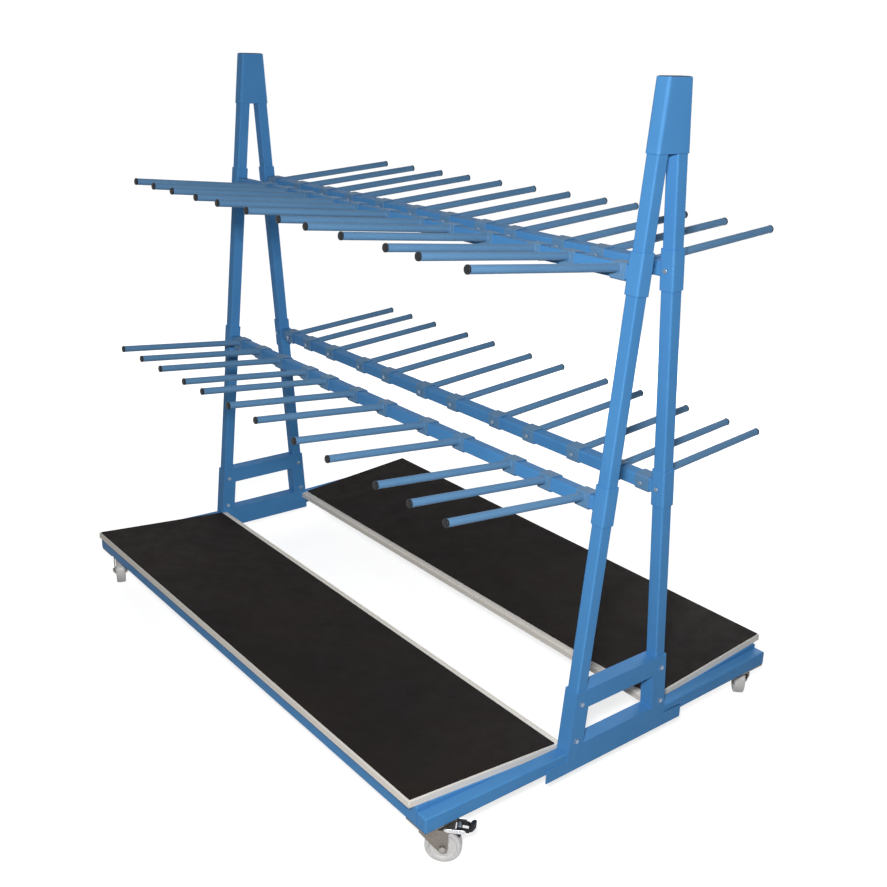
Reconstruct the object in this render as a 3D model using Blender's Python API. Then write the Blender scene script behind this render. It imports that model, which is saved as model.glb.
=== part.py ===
"""Vertical profile cart: two leaning decks back to back on casters, with an A-frame at each end and
four rails of round arms between them. X runs along the cart (near end at +X), the front deck is at
-Y, Z is up from the floor. Lengths are in metres. The near end, the front and the arm numbers, which
count from the far end, name the pieces."""

import math

import bmesh
import bpy
from mathutils import Matrix, Vector

MM = 0.001
LEAN = math.radians(5.0)  # the legs, the boards and the arms all lean by this
TAN, COS = math.tan(LEAN), math.cos(LEAN)
SEAT = 0.3 * MM  # left between pieces that rest on each other
SLIP = 0.4 * MM  # a sleeve's clearance on its tube, each side
LAP = 1.0 * MM  # how far welded pieces run into each other
PAST = 5.0 * MM  # how far a cutter runs past the face that it opens

# Square tube
TUBE = 40 * MM
TUBE_WALL = 2.5 * MM
SLEEVE_WALL = 3 * MM
SLEEVE_BORE = TUBE + 2 * SLIP
SLEEVE = SLEEVE_BORE + 2 * SLEEVE_WALL

# Decks
MAT_LENGTH, MAT_WIDTH, MAT_THICK = 2000 * MM, 523 * MM, 3 * MM
BOARD_THICK = 21 * MM
BOARD_EDGE = 4 * MM  # bare board round the mat
BARE_STRIP = 25 * MM  # bare board along the inner edge
BOARD_LENGTH = MAT_LENGTH + 2 * BOARD_EDGE
BOARD_WIDTH = MAT_WIDTH + BOARD_EDGE + BARE_STRIP
BOARD_OVERHANG = 23.5 * MM  # past the outer tube, along the slope
END_GAP = 0.6 * MM  # between a board's end and the end frames

# Casters, with the wheel trailing along +X from the swivel axis
WHEEL_RADIUS, WHEEL_WIDTH = 50 * MM, 34 * MM
HUB_RADIUS, HUB_WIDTH = 14 * MM, 40.4 * MM
RIM_RADIUS, WEB_WIDTH = 37 * MM, 22 * MM
TREAD_ROUND = 4 * MM
TRAIL = 36 * MM
CASTER_IN_X, CASTER_IN_Y = 25 * MM, 52 * MM  # the swivel axis from the legs' middle and the outer tube
CROWN_CLEAR, CROWN_THICK = 4 * MM, 4 * MM  # the fork's crown over the wheel
RACE_RADIUS, LOWER_RACE, UPPER_RACE = 32 * MM, 4.7 * MM, 8 * MM
PLATE_X, PLATE_Y, PLATE_THICK = 85 * MM, 100 * MM, 4 * MM
CROWN_LOW = 2 * WHEEL_RADIUS + CROWN_CLEAR
CROWN_TOP = CROWN_LOW + CROWN_THICK
RACE_TOP = CROWN_TOP + LOWER_RACE
PLATE_LOW = RACE_TOP + SEAT + UPPER_RACE
CASTER_HEIGHT = PLATE_LOW + PLATE_THICK
PIN_RADIUS, PIN_HEAD_RADIUS, PIN_HEAD = 6 * MM, 10 * MM, 3 * MM
FORK_WALL = 3 * MM
FORK_IN = HUB_WIDTH / 2 + SEAT
FORK_OUT = FORK_IN + FORK_WALL
FORK_BACK, FORK_FRONT = -28 * MM, 50 * MM
FORK_SKIRT = 12 * MM  # depth of the fork's side below the crown at its back
BOSS_RADIUS = 14 * MM
AXLE_RADIUS, AXLE_HEAD_RADIUS, AXLE_HEAD = 5 * MM, 9.5 * MM, 6 * MM
ROUND_SIDES, WHEEL_SIDES, HEX = 16, 28, 6
CASTER_TURN = {"near_front": 45, "near_rear": 133, "far_front": -22, "far_rear": 225}

# Brake on two of the casters
BRAKED = ("near_front", "far_rear")
PEDAL_PIN_AHEAD, PEDAL_PIN_RISE = 40 * MM, 1 * MM  # from the axle, and above the crown's top
PEDAL_PIN_X, PEDAL_PIN_Z = TRAIL + PEDAL_PIN_AHEAD, CROWN_TOP + PEDAL_PIN_RISE
PEDAL_PIN_RADIUS, PEDAL_HUB = 3 * MM, 6.5 * MM
PEDAL_WIDTH = 34 * MM
EAR_BACK, EAR_PAST, EAR_HALF = 38 * MM, 20 * MM, 5.3 * MM  # a braked fork's ears, about the pin
EAR_EASE = 3 * MM  # their chamfers
EAR_FRONT, EAR_LOW, EAR_TOP = PEDAL_PIN_X + EAR_PAST, PEDAL_PIN_Z - EAR_HALF, PEDAL_PIN_Z + EAR_HALF
PEDAL_OUTLINE_MM = (  # side of the lever from its pin: the top, the thick raised tip, the shoe
    (0, 6.5), (20, 7), (27, 9.5), (31, 13.5), (36, 14.5), (41, 13.5), (44.5, 9.5), (45, 3), (42, -3),
    (36, -6), (26, -6), (9, -4.5), (7, -9), (5.5, -18), (3, -21), (-1, -20.5), (-3.5, -15), (-4, -5),
)

# Deck frames
FRAME_BOTTOM = CASTER_HEIGHT + SEAT
BOARD_IN = 185.5 * MM  # the boards' inner edges, from the middle
FRAME_OUT = BOARD_IN + (BOARD_WIDTH - BOARD_OVERHANG) * COS  # outer face of the outer tube
OUTER_TALL, END_TALL, INNER_TALL = 60 * MM, 50 * MM, 30 * MM  # of the frame's tubes
STRIP = 8 * MM  # the strip that closes the gap between a board and an end rail

# End frames
HEIGHT = 1984 * MM
LEG_X = BOARD_LENGTH / 2 + END_GAP + SLEEVE / 2
LEG_TOP_GAP = 2 * MM  # between the two legs at the top
LEG_TOP_Y = LEG_TOP_GAP / 2 + TUBE / 2 / COS
CAP_LIP = 3 * MM  # the cap stands this far above the legs
CAP_TALL = 179 * MM
BEAM_DROP, BEAM_TALL = 32 * MM, 82 * MM  # the beam's foot below the deck frames
LEG_DEPTH = 22 * MM  # how far the legs stand into the beam
WINDOW_TALL, CROSSBAR_TALL = 115 * MM, 60 * MM
SOCKET_BACK = 9 * MM  # the plate behind each socket, beside the window
BEAM_LOW = FRAME_BOTTOM - BEAM_DROP
BEAM_HIGH = BEAM_LOW + BEAM_TALL
LEG_LOW = BEAM_HIGH - LEG_DEPTH
CROSSBAR_LOW = BEAM_HIGH + WINDOW_TALL
CROSSBAR_HIGH = CROSSBAR_LOW + CROSSBAR_TALL
TAB_TALL, TAB_REACH = 43 * MM, 286 * MM  # the plates on the beam's outer face
CASTER_X, CASTER_Y = LEG_X - CASTER_IN_X, FRAME_OUT - CASTER_IN_Y  # the swivel axes

# Rails and arms
LOWER_RAIL, UPPER_RAIL = 896 * MM, 1513 * MM
RAIL_SLEEVE_TALL = 110 * MM
ARM_COUNT = 12
ARM_SLEEVE_LONG = 50 * MM
ARM_DIAMETER, ARM_WALL = 22 * MM, 2 * MM
ARM_RAISE = 7 * MM  # the arm's axis above the rail's
LOWER_REACH, UPPER_REACH = 500 * MM, 525 * MM
ARM_END_WALL = 6 * MM
ARM_MARGIN = 30 * MM  # from a rail's end to its last arm's sleeve, at even spacing
SETTINGS_MM = {  # how far each arm is set along its rail from even spacing
    "upper_front": (150, 115, 80, 75, 45, 50, 60, 30, 30, 55, 15, 25),
    "upper_rear": (-5, 5, 15, 10, 20, 30, 30, 30, -5, 25, 5, -5),
    "lower_front": (10, -5, -25, -15, -55, -50, -50, 0, 5, 65, 40, 15),
    "lower_rear": (10, -25, -35, 0, -10, 30, 30, 75, 65, 90, 80, 20),
}
ARM_SIDES, BORE_SIDES = 18, 8

FRONT_AND_REAR = {"front": math.pi, "rear": 0.0}  # a front piece is the rear one turned about Z
NEAR_AND_FAR = {"near": 1, "far": -1}


def leg_y(z):
    """How far the legs' axes are from the middle at this height."""
    return LEG_TOP_Y + (HEIGHT - z) * TAN


def colour(name, rgb, metallic, roughness):
    material = bpy.data.materials.new(name)
    material.use_nodes = True
    shader = material.node_tree.nodes["Principled BSDF"]
    shader.inputs["Base Color"].default_value = (*rgb, 1.0)
    shader.inputs["Metallic"].default_value = metallic
    shader.inputs["Roughness"].default_value = roughness
    return material


def box(*corners):
    """A bmesh of one box for each (low, high) pair."""
    shape = bmesh.new()
    for low, high in corners:
        low, high = Vector(low), Vector(high)
        place = Matrix.Translation((low + high) / 2) @ Matrix.Diagonal((*(high - low), 1.0))
        bmesh.ops.create_cube(shape, size=1.0, matrix=place)
    return shape


def rod(ends, radius, sides):
    """A bmesh of one round rod for each (start, end) pair."""
    shape = bmesh.new()
    for start, end in ends:
        start, end = Vector(start), Vector(end)
        turn = Vector((0, 0, 1)).rotation_difference(end - start).to_matrix().to_4x4()
        bmesh.ops.create_cone(
            shape, cap_ends=True, segments=sides, radius1=radius, radius2=radius,
            depth=(end - start).length, matrix=Matrix.Translation((start + end) / 2) @ turn,
        )
    return shape


def prism(outline, across, low, high):
    """A bmesh of a flat outline drawn out from low to high along X ("x": points are y, z) or
    along Y ("y": points are x, z)."""
    shape = bmesh.new()
    rings = []
    for depth in (low, high):
        points = [(depth, a, b) if across == "x" else (a, depth, b) for a, b in outline]
        rings.append([shape.verts.new(point) for point in points])
    shape.faces.new(rings[0])
    shape.faces.new(rings[1])
    for i, corner in enumerate(rings[0]):
        after = (i + 1) % len(outline)
        shape.faces.new((corner, rings[0][after], rings[1][after], rings[1][i]))
    bmesh.ops.recalc_face_normals(shape, faces=shape.faces)
    return shape


def turned(outline, sides):
    """A bmesh of a closed outline of (radius, y) points, turned about the Y axis."""
    shape = bmesh.new()
    rings = []
    for side in range(sides):
        angle = 2 * math.pi * side / sides
        rings.append([
            shape.verts.new((r * math.cos(angle), y, r * math.sin(angle))) for r, y in outline
        ])
    for side, ring in enumerate(rings):
        following = rings[(side + 1) % sides]
        for i, corner in enumerate(ring):
            after = (i + 1) % len(outline)
            shape.faces.new((corner, ring[after], following[after], following[i]))
    bmesh.ops.recalc_face_normals(shape, faces=shape.faces)
    return shape


def helper(shape):
    mesh = bpy.data.meshes.new("helper")
    shape.to_mesh(mesh)
    shape.free()
    made = bpy.data.objects.new("helper", mesh)
    made.hide_render = True
    made.display_type = "WIRE"
    cutters.objects.link(made)
    return made


def carved(start, joins=(), cuts=()):
    """The mesh of start joined with the shapes of joins, less those of cuts."""
    base = helper(start)
    tools = []
    for operation, shapes in (("UNION", joins), ("DIFFERENCE", cuts)):
        for shape in shapes:
            tools.append(helper(shape))
            modifier = base.modifiers.new(operation, "BOOLEAN")
            modifier.operation = operation
            modifier.solver = "EXACT"
            modifier.object = tools[-1]
    graph = bpy.context.evaluated_depsgraph_get()
    mesh = bpy.data.meshes.new_from_object(base.evaluated_get(graph))
    for used in (base, *tools):
        bpy.data.objects.remove(used)
    mesh.polygons.foreach_set("use_smooth", [True] * len(mesh.polygons))
    mesh.set_sharp_from_angle(angle=math.radians(31))
    return mesh


def piece(name, mesh, material, place=(0, 0, 0), turn=(0, 0, 0), parent=None):
    made = bpy.data.objects.new(name, mesh.copy())
    made.data.materials.clear()
    made.data.materials.append(material)
    made.location = place
    made.rotation_euler = turn
    made.parent = parent
    parts.objects.link(made)
    return made


def pivot(name, place, turn):
    made = bpy.data.objects.new(name, None)
    made.location = place
    made.rotation_euler = turn
    parts.objects.link(made)
    return made


def deck_frame():
    """The rear deck's welded frame. Its bores run into the end rails, which are open inside."""
    high, outer_in = FRAME_BOTTOM + OUTER_TALL, FRAME_OUT - TUBE
    inner_in = outer_in - (OUTER_TALL - INNER_TALL) / TAN
    end_in, end_out = LEG_X - TUBE / 2, LEG_X + TUBE / 2
    rail_start = leg_y(FRAME_BOTTOM) + SLEEVE / 2 / COS + SLIP
    rail_high = FRAME_BOTTOM + END_TALL
    low, wall = FRAME_BOTTOM + TUBE_WALL, TUBE_WALL
    outer = box(((-end_in - LAP, outer_in, FRAME_BOTTOM), (end_in + LAP, FRAME_OUT, high)))
    inner = box((
        (-end_in - LAP, inner_in, FRAME_BOTTOM),
        (end_in + LAP, inner_in + TUBE, FRAME_BOTTOM + INNER_TALL),
    ))
    ends = box(*[
        ((min(a, b), rail_start, FRAME_BOTTOM), (max(a, b), FRAME_OUT, rail_high))
        for a, b in ((end_in, end_out), (-end_in, -end_out))
    ])
    strip_in = outer_in - (high - rail_high) / TAN
    strip = [
        (strip_in, rail_high), (strip_in, rail_high - wall), (outer_in + LAP, rail_high - wall),
        (outer_in + LAP, high - LAP), (outer_in, high),
    ]
    strips = [
        prism(strip, "x", end_in - STRIP, end_in + LAP),
        prism(strip, "x", -end_in - LAP, STRIP - end_in),
    ]
    outer_bore = box((
        (-end_in + wall, outer_in + wall, low), (end_in - wall, FRAME_OUT - wall, high - wall),
    ))
    end_bores = box(*[
        (
            (min(a, b), rail_start - PAST, low),
            (max(a, b), FRAME_OUT - wall, rail_high - wall),
        )
        for a, b in ((end_in + wall, end_out - wall), (-end_in - wall, -end_out + wall))
    ])
    ways = box(
        (
            (-end_in - TUBE / 4, outer_in + TUBE / 4, low + wall),
            (end_in + TUBE / 4, FRAME_OUT - TUBE / 4, rail_high - TUBE / 4),
        ),
        (
            (-end_in - TUBE / 4, inner_in + wall, low),
            (end_in + TUBE / 4, inner_in + TUBE - wall, FRAME_BOTTOM + INNER_TALL - wall),
        ),
    )
    return carved(outer, joins=(inner, ends, *strips), cuts=(outer_bore, end_bores, ways))


def deck_layers():
    """The rear board and mat, lying flat with the origin on the edge of the tube they rest on."""
    out = TUBE / COS + BOARD_OVERHANG
    board = box((
        (-BOARD_LENGTH / 2, out - BOARD_WIDTH, SEAT),
        (BOARD_LENGTH / 2, out, SEAT + BOARD_THICK),
    ))
    mat_out, mat_low = out - BOARD_EDGE, SEAT + BOARD_THICK + SEAT
    mat = box((
        (-MAT_LENGTH / 2, mat_out - MAT_WIDTH, mat_low),
        (MAT_LENGTH / 2, mat_out, mat_low + MAT_THICK),
    ))
    return carved(board), carved(mat)


def mirrored(half):
    """A closed outline from its half on the right, which runs upwards from the middle line."""
    return half + [(-y, z) for y, z in reversed(half) if y > 0]


def leg_lines(reach):
    """The outer and inner edges, as functions of height, of a square about each leg's axis."""
    across = reach / 2 / COS
    return (lambda z: leg_y(z) + across), (lambda z: leg_y(z) - across)


def end_base():
    """The welded foot of the near end frame: two leaning sockets, a crossbar and a beam, all of
    one depth. The beam's outer face runs on as plates that carry the deck frames' end rails."""
    face = SLEEVE / 2
    outer, inner = leg_lines(SLEEVE)
    top = CROSSBAR_HIGH
    dip = SLEEVE / 2 * math.sin(LEAN)  # the sockets' floors are square to the legs
    tab_high = BEAM_LOW + TAB_TALL
    half = [
        (0, BEAM_LOW), (TAB_REACH, BEAM_LOW), (TAB_REACH, tab_high), (outer(tab_high), tab_high),
        (outer(top), top), (0, top),
    ]
    window = [
        (0, BEAM_HIGH), (inner(BEAM_HIGH) - SOCKET_BACK, BEAM_HIGH),
        (inner(CROSSBAR_LOW) - SOCKET_BACK, CROSSBAR_LOW), (0, CROSSBAR_LOW),
    ]
    bore_out, bore_in = leg_lines(SLEEVE_BORE)
    foot, above = LEG_LOW - SEAT, top + PAST
    bore = [
        (bore_in(foot - dip), foot - dip), (bore_out(foot + dip), foot + dip),
        (bore_out(above), above), (bore_in(above), above),
    ]
    room = SLEEVE_BORE / 2
    slot = outer(FRAME_BOTTOM)
    cuts = [prism(mirrored(window), "x", -face - PAST, face + PAST)]
    for side in (1, -1):
        cuts.append(prism([(side * y, z) for y, z in bore], "x", -room, room))
    cuts.append(box(*[
        (
            (-face - PAST, min(side * slot, side * (TAB_REACH + PAST)), BEAM_LOW - PAST),
            (room, max(side * slot, side * (TAB_REACH + PAST)), tab_high + PAST),
        )
        for side in (1, -1)
    ]))
    hollow_out = slot - SLEEVE_WALL
    cuts.append(box((
        (-room, -hollow_out, BEAM_LOW - PAST), (room, hollow_out, FRAME_BOTTOM - SLEEVE_WALL),
    )))
    beam_out = inner(BEAM_HIGH) - SLEEVE_WALL
    cuts.append(box((
        (-room, -beam_out, BEAM_LOW - PAST), (room, beam_out, BEAM_HIGH - SLEEVE_WALL),
    )))
    bar_out = leg_y(CROSSBAR_LOW)
    cuts.append(box((
        (-room, -bar_out, CROSSBAR_LOW + SLEEVE_WALL),
        (room, bar_out, top - SLEEVE_WALL),
    )))
    return carved(prism(mirrored(half), "x", -face, face), cuts=cuts)


def cap():
    """The tapered shell that holds the two legs together at the top of an end frame."""
    low = HEIGHT - CAP_TALL
    shells = []
    for reach, past in ((SLEEVE, 0), (SLEEVE_BORE, PAST)):
        edge = leg_lines(reach)[0]
        half = [
            (0, low - past), (edge(low - past), low - past), (edge(HEIGHT + past), HEIGHT + past),
            (0, HEIGHT + past),
        ]
        shells.append(prism(mirrored(half), "x", -reach / 2, reach / 2))
    return carved(shells[0], cuts=shells[1:])


def leg():
    long = (HEIGHT - CAP_LIP - LEG_LOW) / COS
    half, hole = TUBE / 2, TUBE / 2 - TUBE_WALL
    outside = box(((-half, -half, 0), (half, half, long)))
    return carved(outside, cuts=[box(((-hole, -hole, -PAST), (hole, hole, long + PAST)))])


def arm_sleeve(x):
    return (
        (x - ARM_SLEEVE_LONG / 2, -SLEEVE / 2, -SLEEVE / 2),
        (x + ARM_SLEEVE_LONG / 2, SLEEVE / 2, SLEEVE / 2),
    )


def arm_line(x, start, end):
    return ((x, start, ARM_RAISE), (x, end, ARM_RAISE))


def sliding_arm(reach):
    """An arm about its rail's axis, pointing along +Y. Its bore opens into its sleeve."""
    half = SLEEVE_BORE / 2
    long = ARM_SLEEVE_LONG
    radius = ARM_DIAMETER / 2
    return carved(
        box(arm_sleeve(0)),
        joins=[rod([arm_line(0, half + LAP, reach)], radius, ARM_SIDES)],
        cuts=[
            box(((-long, -half, -half), (long, half, half))),
            rod([arm_line(0, 0, reach - ARM_END_WALL)], radius - ARM_WALL, BORE_SIDES),
        ],
    )


def rail(reach, stations):
    """A rail with its two leg sleeves and its clamped arms. All the bores open into the sleeves."""
    half, hole = TUBE / 2, TUBE / 2 - TUBE_WALL
    end = LEG_X - SLEEVE / 2 + LAP
    side, tall = SLEEVE / 2, RAIL_SLEEVE_TALL / 2
    bore = SLEEVE_BORE / 2
    radius = ARM_DIAMETER / 2
    ends = (-LEG_X, LEG_X)
    leg_sleeves = [((x - side, -side, -tall), (x + side, side, tall)) for x in ends]
    leg_bores = [
        ((x - bore, -bore, -tall - PAST), (x + bore, bore, tall + PAST)) for x in ends
    ]
    return carved(
        box(((-end, -half, -half), (end, half, half))),
        joins=[
            box(*leg_sleeves, *[arm_sleeve(x) for x in stations]),
            rod([arm_line(x, half + LAP, reach) for x in stations], radius, ARM_SIDES),
        ],
        cuts=[
            box(((-LEG_X, -hole, -hole), (LEG_X, hole, hole))),
            box(*leg_bores),
            rod(
                [arm_line(x, 0, reach - ARM_END_WALL) for x in stations],
                radius - ARM_WALL, BORE_SIDES,
            ),
        ],
    )


def stations(row):
    last = LEG_X - SLEEVE / 2 - ARM_MARGIN - ARM_SLEEVE_LONG / 2
    pitch = 2 * last / (ARM_COUNT - 1)
    return [-last + i * pitch + set_mm * MM for i, set_mm in enumerate(SETTINGS_MM[row])]


def upright(low, high, radius, sides=ROUND_SIDES):
    return rod([((0, 0, low), (0, 0, high))], radius, sides)


def caster_plate():
    """The bolted plate with its race and the king pin that the fork turns on."""
    head_high = CROWN_LOW - SEAT
    return carved(
        box(((-PLATE_X / 2, -PLATE_Y / 2, PLATE_LOW), (PLATE_X / 2, PLATE_Y / 2, CASTER_HEIGHT))),
        joins=[
            upright(PLATE_LOW - UPPER_RACE, PLATE_LOW + LAP, RACE_RADIUS),
            upright(head_high - LAP, PLATE_LOW, PIN_RADIUS),
            upright(head_high - PIN_HEAD, head_high, PIN_HEAD_RADIUS),
        ],
    )


def fork(braked):
    """The swivel fork. A braked one has straight ears ahead of its crown, with the pedal's pin
    between them."""
    boss = [
        (TRAIL + BOSS_RADIUS * math.cos(angle), WHEEL_RADIUS + BOSS_RADIUS * math.sin(angle))
        for angle in [math.radians(degrees) for degrees in range(0, -150, -24)]
    ]
    ears = [
        (EAR_BACK - EAR_EASE, CROWN_TOP), (EAR_BACK, EAR_TOP), (EAR_FRONT - EAR_EASE, EAR_TOP),
        (EAR_FRONT, PEDAL_PIN_Z), (EAR_FRONT - EAR_EASE, EAR_LOW),
        (FORK_FRONT + 2 * EAR_EASE, EAR_LOW), (FORK_FRONT, EAR_LOW - 2 * EAR_EASE),
    ]
    front = ears if braked else [(FORK_FRONT, CROWN_TOP)]
    side = [(FORK_BACK, CROWN_TOP), *front, *boss, (FORK_BACK, CROWN_TOP - FORK_SKIRT)]
    crown_front = PEDAL_PIN_X - PEDAL_HUB - FORK_WALL if braked else FORK_FRONT
    joins = [
        prism(side, "y", FORK_IN, FORK_OUT),
        prism(side, "y", -FORK_OUT, -FORK_IN),
        upright(CROWN_LOW + LAP, RACE_TOP, RACE_RADIUS - FORK_WALL),
    ]
    if braked:
        ends = [(PEDAL_PIN_X, y, PEDAL_PIN_Z) for y in (LAP - FORK_OUT, FORK_OUT - LAP)]
        joins.append(rod([ends], PEDAL_PIN_RADIUS, ROUND_SIDES))
    axle_ends = [(TRAIL, y, WHEEL_RADIUS) for y in (-FORK_OUT - PAST, FORK_OUT + PAST)]
    cuts = [
        upright(CROWN_LOW - PAST, RACE_TOP + PAST, PIN_RADIUS + SEAT),
        rod([axle_ends], AXLE_RADIUS + SEAT, ROUND_SIDES),
    ]
    crown = box(((FORK_BACK, -FORK_OUT, CROWN_LOW), (crown_front, FORK_OUT, CROWN_TOP)))
    return carved(crown, joins=joins, cuts=cuts)


def wheel():
    """A nylon wheel about its axle, with a recessed web and rounded shoulders."""
    bore, hub, rim, tread = AXLE_RADIUS + SLIP, HUB_RADIUS, RIM_RADIUS, WHEEL_RADIUS
    half = [
        (bore, HUB_WIDTH / 2), (hub, HUB_WIDTH / 2), (hub, WEB_WIDTH / 2), (rim, WEB_WIDTH / 2),
        (rim, WHEEL_WIDTH / 2), (tread - TREAD_ROUND, WHEEL_WIDTH / 2),
        (tread, WHEEL_WIDTH / 2 - TREAD_ROUND),
    ]
    return carved(turned(half + [(r, -y) for r, y in reversed(half)], WHEEL_SIDES))


def axle():
    """The wheel's bolt with its head and nut, through both sides of the fork."""
    start = FORK_OUT + SEAT
    end = start + AXLE_HEAD
    heads = [((0, start, 0), (0, end - LAP, 0)), ((0, LAP - end, 0), (0, -start, 0))]
    return carved(
        rod([((0, -end, 0), (0, end, 0))], AXLE_RADIUS, ROUND_SIDES),
        joins=[rod(heads, AXLE_HEAD_RADIUS, HEX)],
    )


def pedal():
    """The brake pedal about its pin, with the shoe that presses on the tread under the hub."""
    half = PEDAL_WIDTH / 2
    lever = [(x * MM, z * MM) for x, z in PEDAL_OUTLINE_MM]
    bore = [((0, -half - PAST, 0), (0, half + PAST, 0))]
    return carved(
        rod([((0, -half, 0), (0, half, 0))], PEDAL_HUB, ROUND_SIDES),
        joins=[prism(lever, "y", LAP - half, half - LAP)],
        cuts=[rod(bore, PEDAL_PIN_RADIUS + SEAT, ROUND_SIDES)],
    )


for old in list(bpy.data.objects):
    bpy.data.objects.remove(old)
parts = bpy.data.collections.new("vertical_profile_cart")
cutters = bpy.data.collections.new("cutters")
for group in (parts, cutters):
    bpy.context.scene.collection.children.link(group)

paint = colour("blue_paint", (0.08, 0.27, 0.55), 0.0, 0.4)
plywood = colour("plywood", (0.58, 0.50, 0.40), 0.0, 0.6)
rubber = colour("black_mat", (0.015, 0.014, 0.014), 0.0, 0.7)
zinc = colour("zinc_steel", (0.42, 0.41, 0.39), 0.9, 0.4)
nylon = colour("nylon", (0.62, 0.61, 0.60), 0.0, 0.4)
plastic = colour("black_plastic", (0.012, 0.012, 0.012), 0.0, 0.4)

frame_mesh = deck_frame()
board_mesh, mat_mesh = deck_layers()
base_mesh, cap_mesh, leg_mesh = end_base(), cap(), leg()
rest_y, rest_z = FRAME_OUT - TUBE, FRAME_BOTTOM + OUTER_TALL

for side, turn in FRONT_AND_REAR.items():
    out = math.cos(turn)
    piece(f"{side}_deck_frame", frame_mesh, paint, turn=(0, 0, turn))
    piece(f"{side}_board", board_mesh, plywood, (0, out * rest_y, rest_z), (LEAN, 0, turn))
    piece(f"{side}_mat", mat_mesh, rubber, (0, out * rest_y, rest_z), (LEAN, 0, turn))
    for end, along in NEAR_AND_FAR.items():
        foot = (along * LEG_X, out * leg_y(LEG_LOW), LEG_LOW)
        piece(f"{end}_{side}_leg", leg_mesh, paint, foot, (LEAN, 0, turn))

for end, along in NEAR_AND_FAR.items():
    outwards = math.acos(along)  # the far base is the near one turned about Z
    piece(f"{end}_base", base_mesh, paint, (along * LEG_X, 0, 0), (0, 0, outwards))
    piece(f"{end}_cap", cap_mesh, paint, (along * LEG_X, 0, 0))

for level, height, reach in (("lower", LOWER_RAIL, LOWER_REACH), ("upper", UPPER_RAIL, UPPER_REACH)):
    arm_mesh = sliding_arm(reach)
    for side, turn in FRONT_AND_REAR.items():
        row = f"{level}_{side}"
        out = math.cos(turn)
        places = stations(row)
        centre = Vector((0, out * leg_y(height), height))
        clamped = [out * x for x in places[0::2]]
        piece(f"{row}_rail", rail(reach, clamped), paint, centre, (LEAN, 0, turn))
        for i in range(1, ARM_COUNT, 2):
            place = centre + Vector((places[i], 0, 0))
            piece(f"{row}_arm_{i + 1}", arm_mesh, paint, place, (LEAN, 0, turn))

plate_mesh, wheel_mesh, axle_mesh, pedal_mesh = caster_plate(), wheel(), axle(), pedal()
fork_meshes = {braked: fork(braked) for braked in (True, False)}
for corner, degrees in CASTER_TURN.items():
    end, side = corner.split("_")
    place = (NEAR_AND_FAR[end] * CASTER_X, math.cos(FRONT_AND_REAR[side]) * CASTER_Y, 0)
    piece(f"{corner}_plate", plate_mesh, zinc, place)
    swivel = pivot(f"{corner}_swivel", place, (0, 0, math.radians(degrees)))
    piece(f"{corner}_fork", fork_meshes[corner in BRAKED], zinc, parent=swivel)
    hub = (TRAIL, 0, WHEEL_RADIUS)
    piece(f"{corner}_wheel", wheel_mesh, nylon, hub, parent=swivel)
    piece(f"{corner}_axle", axle_mesh, zinc, hub, parent=swivel)
    if corner in BRAKED:
        pin = (PEDAL_PIN_X, 0, PEDAL_PIN_Z)
        piece(f"{corner}_brake", pedal_mesh, plastic, pin, parent=swivel)
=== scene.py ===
"""Looks of the vertical profile cart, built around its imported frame. Lengths are in metres. X runs along
the cart with the near end at +X, the front deck is at -Y, and Z is up from the floor."""
import math

import bmesh
import bpy
from mathutils import Matrix, Vector


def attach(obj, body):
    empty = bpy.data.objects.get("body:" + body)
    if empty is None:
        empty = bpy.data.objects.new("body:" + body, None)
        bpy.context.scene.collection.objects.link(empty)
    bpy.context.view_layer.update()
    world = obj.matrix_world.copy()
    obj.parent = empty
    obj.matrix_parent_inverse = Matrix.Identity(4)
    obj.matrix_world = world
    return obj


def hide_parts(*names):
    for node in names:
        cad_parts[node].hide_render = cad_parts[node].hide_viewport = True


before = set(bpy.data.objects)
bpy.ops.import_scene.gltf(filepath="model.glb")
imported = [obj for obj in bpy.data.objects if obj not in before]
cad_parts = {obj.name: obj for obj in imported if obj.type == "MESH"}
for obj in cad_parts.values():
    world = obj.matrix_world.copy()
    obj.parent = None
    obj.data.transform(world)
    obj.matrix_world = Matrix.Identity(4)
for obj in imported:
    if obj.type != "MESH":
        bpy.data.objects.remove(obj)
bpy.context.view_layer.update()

MM = 0.001
LEAN = math.radians(5.0)
TAN, COS = math.tan(LEAN), math.cos(LEAN)

# Sizes shared with the solids
TUBE, TUBE_WALL = 40 * MM, 2.5 * MM
SLEEVE, SLEEVE_WALL = 46.8 * MM, 3 * MM
LEG_X, LEG_LOW, HEIGHT = 1028 * MM, 153.3 * MM, 1984 * MM
LEG_TOP_Y = 1 * MM + TUBE / 2 / COS
CAP_LIP, CAP_TALL = 3 * MM, 179 * MM
LEG_LONG = (HEIGHT - CAP_LIP - LEG_LOW) / COS
MAT_LENGTH, MAT_WIDTH, MAT_THICK = 2000 * MM, 523 * MM, 3 * MM
BOARD_LENGTH, BOARD_WIDTH, BOARD_THICK = 2008 * MM, 552 * MM, 21 * MM
BOARD_EDGE, BOARD_OVERHANG, SEAT = 4 * MM, 23.5 * MM, 0.3 * MM
BOARD_IN = 185.5 * MM
FRAME_BOTTOM = 125.3 * MM
FRAME_OUT = BOARD_IN + (BOARD_WIDTH - BOARD_OVERHANG) * COS
OUTER_TALL, END_TALL, INNER_TALL = 60 * MM, 50 * MM, 30 * MM
SHADE_SHEET = 8 * MM  # width of a sheet between a board's end and an end rail; it closes the slit there and stands in for the shade in it
RAIL_HEIGHT = {"lower": 896 * MM, "upper": 1513 * MM}
ARM_REACH = {"lower": 500 * MM, "upper": 525 * MM}
RAIL_SLEEVE_TALL = 110 * MM
RAIL_END = LEG_X - SLEEVE / 2
ARM_LONG, ARM_RADIUS, ARM_RAISE = 50 * MM, 11 * MM, 7 * MM
ARM_COUNT = 12
LAST_ARM = RAIL_END - 30 * MM - ARM_LONG / 2
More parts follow.
